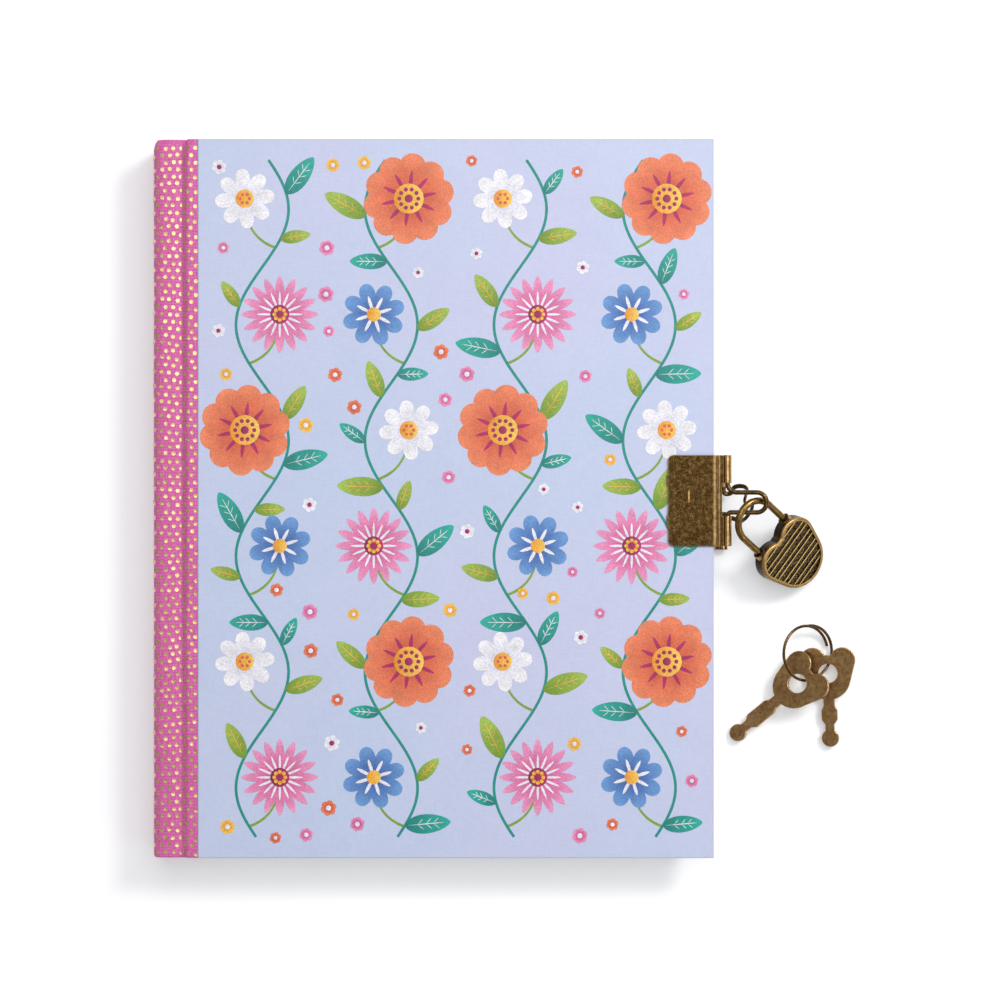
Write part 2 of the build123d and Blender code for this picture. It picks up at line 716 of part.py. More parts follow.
def key_outline(length):
    """Heart bow and blade of a key, about its hole."""
    end_y = blade_end - length
    half = [(blade_neck, blade_top), (blade_neck, blade_top - 2.4), (blade_body, blade_top - 3.8),
            (blade_body, end_y + 5.4), (blade_waist, end_y + 4.0), (blade_waist, end_y + 1.8)]
    Polygon(*half, (0, end_y), *[(-x, y) for x, y in reversed(half)], align=None)
    with Locations((0, end_y)):
        Circle(blade_end)
    a, b, c, d = heart_sides(bow_lobe, bow_lobe_x, bow_lobe_y, bow_round, bow_round_y, 0)
    Polygon(a, b, c, d, (-bow_lobe_x, bow_lobe_y), (0, bow_lobe_y), (bow_lobe_x, bow_lobe_y), align=None)
    with Locations((bow_lobe_x, bow_lobe_y), (-bow_lobe_x, bow_lobe_y)):
        Circle(bow_lobe)
    with Locations((0, bow_round_y)):
        Circle(bow_round)
    Circle(key_hole, mode=Mode.SUBTRACT)


left_key_plane = key_plane(left_key_hole, left_key_heading, left_key_rise, left_key_roll)
right_key_plane = key_plane(right_key_hole, right_key_heading, right_key_rise, right_key_roll)

with BuildPart() as key_left:
    with BuildSketch(left_key_plane.offset(-key_thk / 2)):
        key_outline(left_blade_length)
    extrude(amount=key_thk)
key_left.part.label = "key_left"
export_step(key_left.part, "parts/key_left.step")

with BuildPart() as key_right:
    with BuildSketch(right_key_plane.offset(-key_thk / 2)):
        key_outline(right_blade_length)
    extrude(amount=key_thk)
key_right.part.label = "key_right"
export_step(key_right.part, "parts/key_right.step")
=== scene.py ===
import math
import random

import bpy
from mathutils import Matrix, Vector
from mathutils import noise as ripple


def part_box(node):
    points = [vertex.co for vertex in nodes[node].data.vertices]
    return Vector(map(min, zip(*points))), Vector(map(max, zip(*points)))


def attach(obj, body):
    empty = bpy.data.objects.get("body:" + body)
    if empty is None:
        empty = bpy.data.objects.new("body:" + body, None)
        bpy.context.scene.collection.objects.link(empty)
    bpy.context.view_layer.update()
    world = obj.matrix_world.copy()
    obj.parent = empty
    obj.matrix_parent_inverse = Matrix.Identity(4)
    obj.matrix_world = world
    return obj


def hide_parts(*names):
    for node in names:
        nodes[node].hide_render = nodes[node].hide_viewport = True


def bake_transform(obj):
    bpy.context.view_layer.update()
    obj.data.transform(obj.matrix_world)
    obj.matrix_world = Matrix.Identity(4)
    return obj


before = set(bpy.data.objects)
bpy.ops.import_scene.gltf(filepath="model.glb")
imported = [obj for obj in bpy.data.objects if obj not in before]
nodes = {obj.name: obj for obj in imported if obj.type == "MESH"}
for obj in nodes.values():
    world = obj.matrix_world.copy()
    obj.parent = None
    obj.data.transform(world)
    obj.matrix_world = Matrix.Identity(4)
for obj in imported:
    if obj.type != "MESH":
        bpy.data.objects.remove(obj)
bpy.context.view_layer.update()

MM = 0.001


# Boards: three pieces of grey board, pressed from waste paper, stiffen the two covers and the spine.
# They are covered all over: beside the spine the cloth is turned over their edges and ends.
def srgb(red, green, blue):
    """A screen colour as the linear one that a shader takes."""
    return tuple((c / 255) ** 2.2 for c in (red, green, blue)) + (1.0,)


def start_finish(name, roughness):
    """A new material: the material, its node tree and its shader."""
    finish = bpy.data.materials.new(name)
    finish.use_nodes = True
    shader = finish.node_tree.nodes["Principled BSDF"]
    shader.inputs["Roughness"].default_value = roughness
    return finish, finish.node_tree, shader


def add(tree, kind, inputs, **settings):
    """A node with its settings made and its inputs set or linked."""
    made = tree.nodes.new(kind)
    for setting, value in settings.items():
        setattr(made, setting, value)
    for socket, value in inputs.items():
        if isinstance(value, bpy.types.NodeSocket):
            tree.links.new(value, made.inputs[socket])
        else:
            made.inputs[socket].default_value = value
    return made


def object_place(tree):
    """The place on the piece, in metres."""
    return tree.nodes.new("ShaderNodeTexCoord").outputs["Object"]


def noise(tree, place, scale, detail=4.0, roughness=0.55):
    """Soft random grey."""
    values = {"Vector": place, "Scale": scale, "Detail": detail, "Roughness": roughness}
    return add(tree, "ShaderNodeTexNoise", values).outputs["Fac"]


def ramp(tree, factor, stops):
    """A colour from a grey, by stops of place and colour."""
    made = add(tree, "ShaderNodeValToRGB", {"Fac": factor})
    band = made.color_ramp
    while len(band.elements) < len(stops):
        band.elements.new(0.5)
    for element, (position, colour) in zip(band.elements, stops):
        element.position = position
        element.color = colour
    return made.outputs["Color"]


def tone_by(tree, shader, factor, stops):
    """A shader's colour from a grey, by stops."""
    tree.links.new(ramp(tree, factor, stops), shader.inputs["Base Color"])


def math_node(tree, operation, first, second, third=0.0, clamp=False):
    """One sum on greys."""
    values = {0: first, 1: second, 2: third}
    return add(tree, "ShaderNodeMath", values, operation=operation, use_clamp=clamp).outputs[0]


def mix_colour(tree, factor, first, second, blend="MIX"):
    """Two colours mixed by a grey."""
    values = {0: factor, 6: first, 7: second}
    made = add(tree, "ShaderNodeMix", values, data_type="RGBA", blend_type=blend)
    return made.outputs[2]


def join_bump(tree, shader, height, distance, strength=1.0):
    """Relief on a shader from a grey height; distance is its depth in metres."""
    values = {"Height": height, "Distance": distance, "Strength": strength}
    relief = add(tree, "ShaderNodeBump", values)
    tree.links.new(relief.outputs["Normal"], shader.inputs["Normal"])
    return relief


def vector_dot(tree, first, second):
    """How far one vector goes along another."""
    values = {0: first, 1: second}
    return add(tree, "ShaderNodeVectorMath", values, operation="DOT_PRODUCT").outputs["Value"]


def select_only(piece):
    """Makes one object the selected and active one."""
    bpy.ops.object.select_all(action="DESELECT")
    piece.select_set(True)
    bpy.context.view_layer.objects.active = piece


def dress(finish, *names):
    """CAD nodes that stay in view get a finish."""
    for name in names:
        nodes[name].data.materials.clear()
        nodes[name].data.materials.append(finish)


board_finish, tree, shader = start_finish("grey_board", 0.9)
place = object_place(tree)
fibres = noise(tree, place, 900.0, 6.0)
bare = ramp(tree, fibres, [(0.3, srgb(128, 120, 112)), (0.7, srgb(168, 160, 150))])
turned = ramp(tree, fibres, [(0.3, srgb(176, 58, 130)), (0.7, srgb(214, 90, 164))])
paper_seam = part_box("front_cover_paper")[0].x
across = add(tree, "ShaderNodeSeparateXYZ", {0: place}).outputs["X"]
near_spine = math_node(tree, "LESS_THAN", across, paper_seam)
tree.links.new(mix_colour(tree, near_spine, bare, turned), shader.inputs["Base Color"])
join_bump(tree, shader, fibres, 0.05 * MM)
dress(board_finish, "back_board", "front_board", "spine_board")


# Covering paper: one lavender printed sheet on each board, a faint linen emboss under a satin varnish.
# Its edges are turned in round the board, under the pastedown.
def linen_grain(tree, place):
    """Height of a faint linen emboss: short uneven fibres both ways over a slow drift."""
    fibres = []
    for stretch in ((1, 0.16, 1), (0.16, 1, 1)):
        drawn_out = add(tree, "ShaderNodeMapping", {"Vector": place, "Scale": stretch}).outputs[0]
        fibres.append(noise(tree, drawn_out, 2300.0, 3.0, 0.6))
    weave = math_node(tree, "ADD", fibres[0], fibres[1])
    drift = noise(tree, place, 90.0, 4.0)
    return math_node(tree, "MULTIPLY_ADD", weave, 0.4, math_node(tree, "MULTIPLY", drift, 0.2))


paper_finish, tree, shader = start_finish("lavender_paper", 0.46)
place = object_place(tree)
grain = linen_grain(tree, place)
cloud = noise(tree, place, 14.0, 3.0)
ground = ramp(tree, cloud, [(0.3, srgb(190, 203, 231)), (0.55, srgb(195, 202, 231)),
                            (0.75, srgb(200, 200, 231))])
flecks = ramp(tree, grain, [(0.36, (0.93, 0.93, 0.94, 1)), (0.64, (1.04, 1.04, 1.03, 1))])
tree.links.new(mix_colour(tree, 1.0, ground, flecks, "MULTIPLY"), shader.inputs["Base Color"])
relief = join_bump(tree, shader, grain, 0.03 * MM, 0.5)
folded = add(tree, "ShaderNodeBevel", {"Radius": 0.55 * MM}, samples=8).outputs["Normal"]
tree.links.new(folded, relief.inputs["Normal"])
dress(paper_finish, "front_cover_paper", "back_cover_paper")

# Printed design: a trailing-vine stripe in flat inks on both covers, drawn as films laid on the paper.
# Each vine waves up the cover with leaves on both sides and a flower in every bay.
FILM = 0.008 * MM
paper_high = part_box("front_cover_paper")[1]
cover_top = paper_high.z
fore_edge = paper_high.x
cover_half = paper_high.y

INKS = {
    "teal": (srgb(10, 128, 122), srgb(40, 178, 160)),
    "green": (srgb(112, 150, 40), srgb(168, 196, 84)),
    "coral": (srgb(206, 66, 44), srgb(244, 138, 96)),
    "pink": (srgb(206, 60, 138), srgb(246, 158, 200)),
    "mustard": (srgb(236, 150, 34), srgb(255, 208, 92)),
    "white": (srgb(222, 220, 240), srgb(252, 250, 252)),
    "plum": (srgb(132, 20, 74), srgb(188, 42, 104)),
    "blue": (srgb(44, 78, 160), srgb(110, 160, 220)),
}


def flat_outline(name, sides, shape):
    """A filled flat outline one unit long, from its base at the origin towards +X."""
    bpy.ops.object.select_all(action="DESELECT")
    bpy.ops.mesh.primitive_circle_add(vertices=sides, radius=1, fill_type="NGON")
    made = bpy.context.object
    made.name = name
    for corner in made.data.vertices:
        angle = math.atan2(corner.co.y, corner.co.x)
        corner.co = Vector((*shape(angle), 0))
    return made


def leaf_shape(angle):
    """Pointed at both ends, widest before the middle."""
    along = 0.5 + 0.5 * math.cos(angle)
    across = 0.5 * math.copysign(abs(math.sin(angle)) ** 1.25, math.sin(angle))
    return along, across * (1.15 - 0.3 * along)


def petal_shape(angle):
    """Narrow at its base and round at its end."""
    along = 0.5 + 0.5 * math.cos(angle)
    return along, 0.5 * math.sin(angle) * (0.45 + 0.75 * along)


def spear_shape(angle):
    """A narrow petal with a point."""
    along = 0.5 + 0.5 * math.cos(angle)
    across = math.copysign(abs(math.sin(angle)) ** 1.5, math.sin(angle))
    return along, 0.5 * across * (0.6 + 0.5 * along)


def disc_shape(angle):
    """A round spot about the origin."""
    return 0.5 * math.cos(angle), 0.5 * math.sin(angle)


SHAPES = {
    "leaf": flat_outline("leaf_outline", 28, leaf_shape),
    "petal": flat_outline("petal_outline", 24, petal_shape),
    "spear": flat_outline("spear_outline", 20, spear_shape),
    "disc": flat_outline("disc_outline", 20, disc_shape),
}
films = []


def tint(mesh, base, tip, grade):
    """Colours a film from its base to its tip."""
    inks = mesh.attributes.new("ink", "FLOAT_COLOR", "POINT")
    for point, corner in zip(inks.data, mesh.vertices):
        share = min(max(grade(corner.co), 0), 1)
        point.color = [a + (b - a) * share for a, b in zip(base, tip)]


def stamp(shape, ink, spot, turn, length, width, layer, flip=False):
    """One film of a shape in an ink, at a spot on the design, turned and sized, on a layer."""
    base, tip = INKS[ink] if not flip else INKS[ink][::-1]
    film = SHAPES[shape].data.copy()
    tint(film, base, tip, lambda co: co.x if shape != "disc" else 0.5 + co.x)
    film.transform(Matrix.Translation((*spot, layer * FILM)) @ Matrix.Rotation(turn, 4, "Z")
                   @ Matrix.Diagonal((length, width, 1, 1)))
    made = bpy.data.objects.new("film", film)
    bpy.context.scene.collection.objects.link(made)
    films.append(made)


def leaf(spot, turn, length, ink):
    """A leaf with a pale midrib and side veins."""
    stamp("leaf", ink, spot, turn, length, length * 0.42, 2)
    ahead = Vector((math.cos(turn), math.sin(turn)))
    rib = "white" if ink == "teal" else "mustard"
    stamp("spear", rib, spot + ahead * length * 0.06, turn, length * 0.8, 0.28 * MM, 4)
    for share in (0.28, 0.46, 0.62):
        for lean in (0.75, -0.75):
            stamp("spear", rib, spot + ahead * length * share, turn + lean, length * 0.17, 0.2 * MM, 3)


def ring_of(shape, ink, spot, count, length, width, layer, start=0.0, out=0.0, flip=False):
    """Petals or spots set round a centre."""
    for number in range(count):
        turn = start + math.tau * number / count
        ahead = Vector((math.cos(turn), math.sin(turn)))
        stamp(shape, ink, spot + ahead * out, turn, length, width, layer + number % 2, flip)


def rosette(spot, size):
    """A round flower of overlapping petals with a spotted eye."""
    ring_of("petal", "coral", spot, 10, size, size * 0.66, 5, 0.2)
    ring_of("spear", "plum", spot, 10, size * 0.62, size * 0.1, 7, 0.2)
    stamp("disc", "mustard", spot, 0, size * 0.66, size * 0.66, 9)
    ring_of("disc", "plum", spot, 10, size * 0.09, size * 0.09, 10, 0, size * 0.21)
    stamp("disc", "plum", spot, 0, size * 0.18, size * 0.18, 10)


def aster(spot, size):
    """A many-rayed flower with a dark eye."""
    ring_of("spear", "pink", spot, 16, size, size * 0.27, 5)
    ring_of("spear", "white", spot, 16, size * 0.6, size * 0.07, 7)
    stamp("disc", "plum", spot, 0, size * 0.5, size * 0.5, 9)
    ring_of("disc", "mustard", spot, 8, size * 0.1, size * 0.1, 10, 0, size * 0.14)


def daisy(spot, size):
    """A small white flower with a yellow eye."""
    ring_of("petal", "white", spot, 8, size, size * 0.55, 5, 0.1)
    stamp("disc", "mustard", spot, 0, size * 0.62, size * 0.62, 9)
    ring_of("disc", "coral", spot, 6, size * 0.12, size * 0.12, 10, 0, size * 0.17)


def cornflower(spot, size):
    """A small blue flower with white rays."""
    ring_of("petal", "blue", spot, 8, size, size * 0.56, 5, 0.3)
    ring_of("spear", "white", spot, 8, size * 0.6, size * 0.12, 7, 0.3)
    stamp("disc", "mustard", spot, 0, size * 0.45, size * 0.45, 9)


def spot_flower(spot, size, ink):
    """A scattered blossom of six spots round an eye."""
    ring_of("disc", ink, spot, 6, size * 0.75, size * 0.75, 5, 0.3, size * 0.55)
    stamp("disc", "white" if ink != "white" else "plum", spot, 0, size * 0.6, size * 0.6, 9)


def strand(steps, middle_at, half_at, ink, layer):
    """A flat line of ink along a path; middle_at and half_at give its middle and half width."""
    bpy.ops.object.select_all(action="DESELECT")
    bpy.ops.mesh.primitive_grid_add(x_subdivisions=steps, y_subdivisions=1, size=1)
    made = bpy.context.object
    for corner in made.data.vertices:
        t = corner.co.x + 0.5
        ahead = (middle_at(t + 0.001) - middle_at(t - 0.001)).normalized()
        half = half_at(t) * math.copysign(1, corner.co.y)
        middle = middle_at(t)
        corner.co = Vector((middle.x - ahead.y * half, middle.y + ahead.x * half, layer * FILM))
    tint(made.data, *INKS[ink], lambda co: 0.3)
    films.append(made)


def stem(start, bend, end, width, ink):
    """A tapering stem along one curve from start to end, pulled towards bend."""
    strand(14, lambda t: start * (1 - t) ** 2 + bend * (2 * t * (1 - t)) + end * t ** 2,
           lambda t: width * (0.5 - 0.2 * t), ink, 0)


VINES = 4
VINE_SWING = 7.5 * MM
VINE_WAVE = 66.0 * MM
VINE_WIDTH = 0.8 * MM
VINE_MARGIN = 6.0 * MM
LEAF_PAIRS = 15
LEAF_LENGTH = 11.0
LEAF_VARY = 2.5
LEAF_LEAN = 0.95
BAY_MARGIN = 8 * MM
BLOOM_OUT = 5.0 * MM
BLOOM_UP = 3.0 * MM
STEM_RUN = 11 * MM
vine_pitch = (fore_edge - paper_seam) / VINES
vine_half = cover_half - VINE_MARGIN
flower_kinds = (rosette, aster, daisy, cornflower)
flower_sizes = (13.0 * MM, 11.0 * MM, 8.5 * MM, 9.0 * MM)


def vine_point(column, y):
    """A point on a vine; neighbours wave opposite ways."""
    middle = paper_seam + vine_pitch * (column + 0.5)
    return Vector((middle + VINE_SWING * math.sin(math.tau * y / VINE_WAVE + math.pi * column), y))


busy = []


def is_free(spot, room):
    """Nothing that is printed so far comes into the room round a spot."""
    return all((spot - other).length > room + reach for other, reach in busy)


def vine(column):
    """One trailing stem and the flowers in its bays."""
    strand(160, lambda t: vine_point(column, vine_half * (2 * t - 1)), lambda t: VINE_WIDTH / 2, "teal", 1)
    for bay in range(-4, 4):
        crest = (bay + 0.5) * VINE_WAVE / 2
        if abs(crest) > vine_half - BAY_MARGIN:
            continue
        top = vine_point(column, crest)
        side = math.copysign(1, vine_point(column, 0).x - top.x)
        kind = (bay + 2 * column) % 4
        bloom = top + Vector((side * (VINE_SWING + BLOOM_OUT), BLOOM_UP))
        low = vine_point(column, crest - STEM_RUN)
        stem(low, Vector((bloom.x, low.y + 3 * MM)), bloom, VINE_WIDTH, "green")
        flower_kinds[kind](bloom, flower_sizes[kind])
        busy.append((bloom, flower_sizes[kind]))
        busy.append(((low + bloom) / 2, 3.5 * MM))


def vine_leaves(column):
    """Leaves on both sides of a stem, wherever there is room for one."""
    for number in range(2 * LEAF_PAIRS):
        y = vine_half * (2 * (number + 0.5) / (2 * LEAF_PAIRS) - 1)
        side = 1 if number % 2 else -1
        foot = vine_point(column, y)
        ahead = (vine_point(column, y + MM) - foot).normalized()
        length = (LEAF_LENGTH + LEAF_VARY * math.sin(number * 2.1 + column)) * MM
        turn = math.atan2(ahead.y, ahead.x) + side * LEAF_LEAN
        middle = foot + Vector((math.cos(turn), math.sin(turn))) * length * 0.55
        tip = foot + Vector((math.cos(turn), math.sin(turn))) * length
        inside = abs(tip.y) < cover_half - 3 * MM and paper_seam + 2 * MM < tip.x < fore_edge - 2 * MM
        if inside and is_free(tip, 0.6 * MM) and is_free(middle, 1.6 * MM):
            leaf(foot, turn, length, "teal" if number % 4 < 2 else "green")
            busy.append((middle, length * 0.36))
            busy.append((tip, 0.8 * MM))


for column in range(VINES):
    vine(column)
for column in range(VINES):
    vine_leaves(column)
for column in range(VINES):
    for step in range(101):
        busy.append((vine_point(column, vine_half * (step / 50 - 1)), VINE_WIDTH))

BLOSSOM_ROOM = 3.0 * MM
BLOSSOM_COLUMNS = 18
BLOSSOM_ROWS = 26
draw = random.Random(5)
for row in range(BLOSSOM_ROWS):
    for column in range(BLOSSOM_COLUMNS):
        share_x = (column + draw.uniform(0.2, 0.8)) / BLOSSOM_COLUMNS
        share_y = (row + draw.uniform(0.2, 0.8)) / BLOSSOM_ROWS
        spot = Vector((paper_seam + 4 * MM + (fore_edge - paper_seam - 8 * MM) * share_x,
                       (cover_half - 4 * MM) * (2 * share_y - 1)))
        if is_free(spot, BLOSSOM_ROOM):
            spot_flower(spot, draw.uniform(1.7, 2.5) * MM, draw.choice(("mustard", "pink", "coral", "white")))
            busy.append((spot, 5.5 * MM))


def join_films(name, made):
    """Joins films into one piece and gives them the thickness of a layer of ink."""
    bpy.ops.object.select_all(action="DESELECT")
    for film in made:
        film.select_set(True)
    bpy.context.view_layer.objects.active = made[0]
    bpy.ops.object.join()
    whole = bpy.context.object
    whole.name = name
    skin = whole.modifiers.new("ink_layer", "SOLIDIFY")
    skin.thickness = FILM
    skin.offset = 1
    bpy.ops.object.modifier_apply(modifier=skin.name)
    return whole


ink_finish, tree, shader = start_finish("printing_ink", 0.44)
place = object_place(tree)
grain = linen_grain(tree, place)
ink_colour = add(tree, "ShaderNodeAttribute", {}, attribute_name="ink").outputs["Color"]
speckle = ramp(tree, noise(tree, place, 2600.0, 2.0),
               [(0.38, (0.80, 0.80, 0.80, 1)), (0.62, (1.06, 1.06, 1.06, 1))])
washes = ramp(tree, noise(tree, place, 240.0, 5.0),
              [(0.3, (0.86, 0.86, 0.86, 1)), (0.7, (1.08, 1.08, 1.08, 1))])
printed = mix_colour(tree, 1.0, mix_colour(tree, 1.0, ink_colour, speckle, "MULTIPLY"), washes, "MULTIPLY")
tree.links.new(printed, shader.inputs["Base Color"])
join_bump(tree, shader, grain, 0.035 * MM, 0.6)

front_print = join_films("front_print", films)
for outline in SHAPES.values():
    bpy.data.objects.remove(outline)
front_print.data.materials.clear()
front_print.data.materials.append(ink_finish)
back_print = front_print.copy()
back_print.data = front_print.data.copy()
back_print.name = "back_print"
bpy.context.scene.collection.objects.link(back_print)
front_print.data.transform(Matrix.Translation((0, 0, cover_top)))
back_print.data.transform(Matrix.Rotation(math.pi, 4, "Y"))
back_print.data.transform(Matrix.Translation((paper_seam + fore_edge, 0, 0)))
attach(front_print, "front_cover")
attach(back_print, "back_cover")

# Endpapers: a folded sheet at each end of the block, pasted inside the cover and free beside it.
# Plain uncoated rose paper with a faint cloudy formation.
endpaper_finish, tree, shader = start_finish("rose_endpaper", 0.82)
place = object_place(tree)
formation = noise(tree, place, 260.0, 6.0)
tone_by(tree, shader, formation, [(0.3, srgb(233, 186, 206)), (0.7, srgb(242, 200, 217))])
join_bump(tree, shader, noise(tree, place, 3200.0, 3.0), 0.02 * MM)
dress(endpaper_finish, "front_pastedown", "back_pastedown", "front_flyleaf", "back_flyleaf")

# Text block: six folded and sewn sections of cream writing paper, trimmed on three sides.
# The trimmed edges show every leaf as a fine line.
LEAF = 0.11 * MM
page_finish, tree, shader = start_finish("cream_pages", 0.85)
place = object_place(tree)
level = add(tree, "ShaderNodeSeparateXYZ", {"Vector": place}).outputs["Z"]
waver = math_node(tree, "MULTIPLY", noise(tree, place, 120.0, 2.0), 0.6)
leaves = math_node(tree, "FRACT", math_node(tree, "MULTIPLY_ADD", level, 1 / LEAF, waver), 0.0)
lines = ramp(tree, leaves, [(0.0, srgb(206, 197, 178)), (0.35, srgb(244, 240, 229)),
                            (0.9, srgb(240, 235, 222))])
stain = ramp(tree, noise(tree, place, 300.0, 4.0), [(0.3, (0.93, 0.93, 0.92, 1)), (0.7, (1, 1, 1, 1))])
tree.links.new(mix_colour(tree, 1.0, lines, stain, "MULTIPLY"), shader.inputs["Base Color"])
join_bump(tree, shader, leaves, 0.03 * MM, 0.7)
dress(page_finish, *(f"section_{number}" for number in range(1, 7)))

# Back lining and bands: open gauze glued on the sewn folds, and a striped woven band at each end.
# They strengthen and trim the back of the text block inside the hollow spine.
gauze_finish, tree, shader = start_finish("lining_gauze", 0.95)
place = object_place(tree)
threads = []
for direction in ("Y", "Z"):
    values = {"Vector": place, "Scale": 260.0, "Distortion": 0.6}
    threads.append(add(tree, "ShaderNodeTexWave", values, bands_direction=direction).outputs["Fac"])
mesh_height = math_node(tree, "MAXIMUM", threads[0], threads[1])
tone_by(tree, shader, mesh_height, [(0.4, srgb(196, 186, 164)), (0.8, srgb(240, 235, 222))])
join_bump(tree, shader, mesh_height, 0.12 * MM)
dress(gauze_finish, "spine_lining")

band_finish, tree, shader = start_finish("woven_band", 0.7)
place = object_place(tree)
values = {"Vector": place, "Scale": 320.0}
stripes = add(tree, "ShaderNodeTexWave", values, bands_direction="Z").outputs["Fac"]
tone_by(tree, shader, stripes, [(0.45, srgb(214, 92, 156)), (0.55, srgb(246, 240, 236))])
join_bump(tree, shader, stripes, 0.12 * MM)
dress(band_finish, "head_band", "tail_band")

# Spine cloth: one strip of pink satin bookcloth from board to board, drawn over the spine strip and
# pressed into a joint groove beside each board. It is parted into a spine piece and a joint piece on each
# side.
CLOTH = 0.35 * MM
GROOVE_DROP = 0.92 * MM
HUMP_DROP = 0.76 * MM
BOARD_EDGE_IN = 3.0 * MM
GROOVE_IN = 4.6 * MM
HUMP_IN = 6.6 * MM
HUMP_FALL = 0.16 * MM
SPINE_ROUND = 1.8 * MM
SPINE_BULGE = 0.6 * MM
HEAD_ROUND = 1.7 * MM
HEAD_TAPER = 3.2 * MM
TAIL_ROUND = 0.5 * MM
TAIL_TAPER = 1.0 * MM
spine_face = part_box("spine_cloth")[0].x - SPINE_BULGE
spine_middle = cover_top / 2

front_half = [
    (paper_seam - 0.02 * MM, cover_top),
    (paper_seam - BOARD_EDGE_IN * 0.5, cover_top),
    (paper_seam - BOARD_EDGE_IN, cover_top - 0.06 * MM),
    (paper_seam - BOARD_EDGE_IN - 0.6 * MM, cover_top - 0.36 * MM),
    (paper_seam - GROOVE_IN, cover_top - GROOVE_DROP),
    (paper_seam - GROOVE_IN - 0.8 * MM, cover_top - 0.97 * GROOVE_DROP),
    (paper_seam - HUMP_IN, cover_top - HUMP_DROP),
    (paper_seam - HUMP_IN - 2.0 * MM, cover_top - HUMP_DROP + 0.04 * MM),
    (spine_face + SPINE_ROUND, cover_top - HUMP_DROP - HUMP_FALL),
    (spine_face + 0.3 * SPINE_ROUND, cover_top - HUMP_DROP - HUMP_FALL - 0.3 * SPINE_ROUND),
    (spine_face, cover_top - HUMP_DROP - HUMP_FALL - SPINE_ROUND),
    (spine_face, spine_middle + 2.5 * MM),
]
profile = front_half + [(x, 2 * spine_middle - z) for x, z in reversed(front_half)]


def cloth_line():
    """The cloth's outer line across the spine, as a smooth curve."""
    data = bpy.data.curves.new("cloth_line", "CURVE")
    data.dimensions = "3D"
    data.resolution_u = 5
    line = data.splines.new("BEZIER")
    line.bezier_points.add(len(profile) - 1)
    for point, (x, z) in zip(line.bezier_points, profile):
        point.co = (x, 0, z)
        point.handle_left_type = point.handle_right_type = "AUTO"
    made = bpy.data.objects.new("cloth_line", data)
    bpy.context.scene.collection.objects.link(made)
    select_only(made)
    bpy.ops.object.convert(target="MESH")
    return bpy.context.object


cloth = cloth_line()
cloth_path = [corner.co.copy() for corner in cloth.data.vertices]
path_length = [0.0]
for before, after in zip(cloth_path, cloth_path[1:]):
    path_length.append(path_length[-1] + (after - before).length)
END_ROWS = [0.0, 0.1 * MM, 0.25 * MM, 0.5 * MM, 0.8 * MM, 1.2 * MM, 1.7 * MM, 2.4 * MM, 3.2 * MM]
MIDDLE_ROWS = 110
middle_half = cover_half - END_ROWS[-1]
rows = [-cover_half + inset for inset in END_ROWS]
rows += [-middle_half + 2 * middle_half * number / MIDDLE_ROWS for number in range(1, MIDDLE_ROWS)]
rows += [cover_half - inset for inset in reversed(END_ROWS)]
for corner in cloth.data.vertices:
    corner.co.y = rows[0]
bpy.ops.object.mode_set(mode="EDIT")
bpy.ops.mesh.select_all(action="SELECT")
for low, high in zip(rows, rows[1:]):
    bpy.ops.mesh.extrude_region_move(TRANSFORM_OT_translate={"value": (0, high - low, 0)})
bpy.ops.object.mode_set(mode="OBJECT")
strip = cloth.data.attributes.new("strip", "FLOAT_VECTOR", "POINT")
run_at = {(round(p.x, 6), round(p.z, 6)): run for p, run in zip(cloth_path, path_length)}
for point, corner in zip(strip.data, cloth.data.vertices):
    point.vector = (run_at[round(corner.co.x, 6), round(corner.co.z, 6)], corner.co.y, 0)


def outward(mesh):
    """Turns an open sheet's faces so that its highest ones look up."""
    highest = max(mesh.data.polygons, key=lambda face: face.center.z)
    if highest.normal.z < 0:
        mesh.data.flip_normals()


def swell(spot):
    """How far the cloth stands off its line: it is a little uneven over the hollow spine."""
    if spot.x > paper_seam - BOARD_EDGE_IN:
        return 0.0
    return 0.07 * MM * ripple.noise(spot * 70)


def end_drop(spot, facing):
    """How far the cloth turns in at the head and tail, most at the spine's corner."""
    deep, far = (HEAD_ROUND, HEAD_TAPER) if spot.y > 0 else (TAIL_ROUND, TAIL_TAPER)
    if spot.x > paper_seam - BOARD_EDGE_IN:
        deep, far = 0.3 * MM, 0.4 * MM
    inside = min(max(cover_half - abs(spot.y), 0) / far, 1)
    return deep * (0.45 + 0.55 * abs(facing.x)) * (1 - math.sqrt(1 - (1 - inside) ** 2))


outward(cloth)
facings = [corner.normal.copy() for corner in cloth.data.vertices]
for corner, facing in zip(cloth.data.vertices, facings):
    corner.co += facing * (swell(corner.co) - end_drop(corner.co, facing))

CLOTH_SPLIT = spine_face + 2.2 * MM


def part_off(sheet, name, wanted):
    """Separates the faces that are wanted into a piece of their own."""
    select_only(sheet)
    bpy.ops.object.mode_set(mode="EDIT")
    bpy.ops.mesh.select_all(action="DESELECT")
    bpy.ops.object.mode_set(mode="OBJECT")
    for face in sheet.data.polygons:
        face.select = wanted(face.center)
    bpy.ops.object.mode_set(mode="EDIT")
    bpy.ops.mesh.separate(type="SELECTED")
    bpy.ops.object.mode_set(mode="OBJECT")
    made = next(o for o in bpy.context.selected_objects if o != sheet)
    made.name = name
    return made


def is_front(spot):
    """On the front cover's side of the spine."""
    return spot.x > CLOTH_SPLIT and spot.z > spine_middle


def is_back(spot):
    """On the back cover's side of the spine."""
    return spot.x > CLOTH_SPLIT and spot.z < spine_middle


cloth.name = "spine_wrap"
front_wrap = part_off(cloth, "front_joint_wrap", is_front)
back_wrap = part_off(cloth, "back_joint_wrap", is_back)

